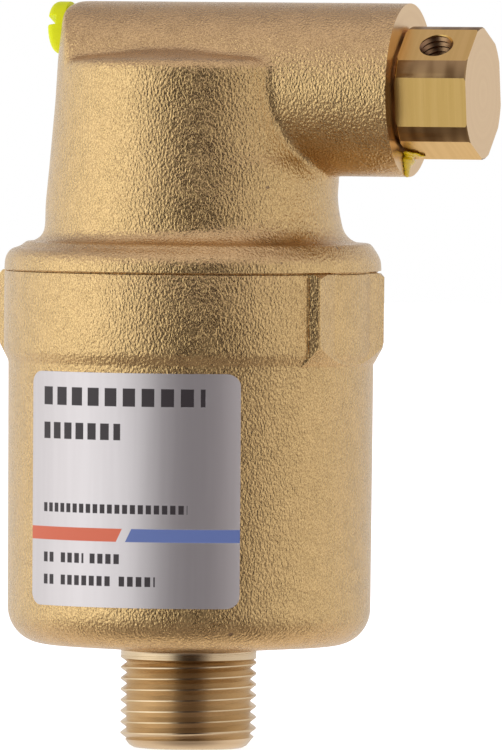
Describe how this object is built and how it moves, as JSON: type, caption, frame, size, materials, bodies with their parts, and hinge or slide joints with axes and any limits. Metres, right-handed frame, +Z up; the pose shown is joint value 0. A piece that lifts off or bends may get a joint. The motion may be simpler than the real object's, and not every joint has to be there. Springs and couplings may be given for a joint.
{
  "type": "automatic air vent",
  "caption": "Float-operated automatic air vent: a cast brass cup with a threaded inlet below, a cap with a side outlet boss, and a hexagonal vent plug.",
  "frame": {"origin": "on the body axis, in the plane where the inlet thread meets the underside of the cup", "axes": "+Z up along the body axis from the thread to the cap, +X along the outlet boss, the label faces -Y"},
  "size_m": [0.0607, 0.0468, 0.0914],
  "materials": {
    "cast_brass": "shot-blasted casting",
    "turned_brass": "machined",
    "steel": "satin",
    "white_plastic": "moulded",
    "seal_rubber": "matt",
    "foil": "satin printed foil",
    "yellow_lacquer": "glossy sealing lacquer",
    "clear_lacquer": "glossy translucent sealing lacquer"
  },
  "bodies": {
    "housing": {"lower_body": "cast_brass", "upper_body": "cast_brass", "body_seal": "seal_rubber", "float_rest": "white_plastic", "splash_guard": "white_plastic", "lever_pin": "steel", "pin_clips": "steel", "lever_bracket": "turned_brass", "bracket_screws": "steel", "stem_guide": "white_plastic", "valve_seat": "turned_brass", "seat_seal": "seal_rubber", "vent_plug": "turned_brass", "plug_seal": "seal_rubber", "plug_lacquer": "clear_lacquer", "test_screw": "yellow_lacquer", "rating_label": "foil"},
    "float": {"float_shell": "white_plastic", "float_lid": "white_plastic", "link_rod": "steel", "link_clip": "steel"},
    "crank": {"lever": "steel"},
    "stem": {"valve_stem": "turned_brass", "valve_pad": "seal_rubber", "valve_spring": "steel"}
  },
  "joints": [
    {"name": "float_rise", "type": "slide", "parent": "housing", "child": "float", "axis": [0, 0, 1], "range_m": [0, 0.00299]},
    {"name": "lever_tilt", "type": "hinge", "parent": "housing", "child": "crank", "pos_m": [0.004, 0, 0.0635], "axis": [0, 1, 0], "range_deg": [0, 13.2]},
    {"name": "valve_slide", "type": "slide", "parent": "housing", "child": "stem", "axis": [1, 0, 0], "range_m": [0, 0.00115]}
  ],
  "couplings": [
    {"joint": "lever_tilt", "follows": "float_rise", "rad_per_m": 77.1},
    {"joint": "valve_slide", "follows": "float_rise", "ratio": 0.3846}
  ]
}
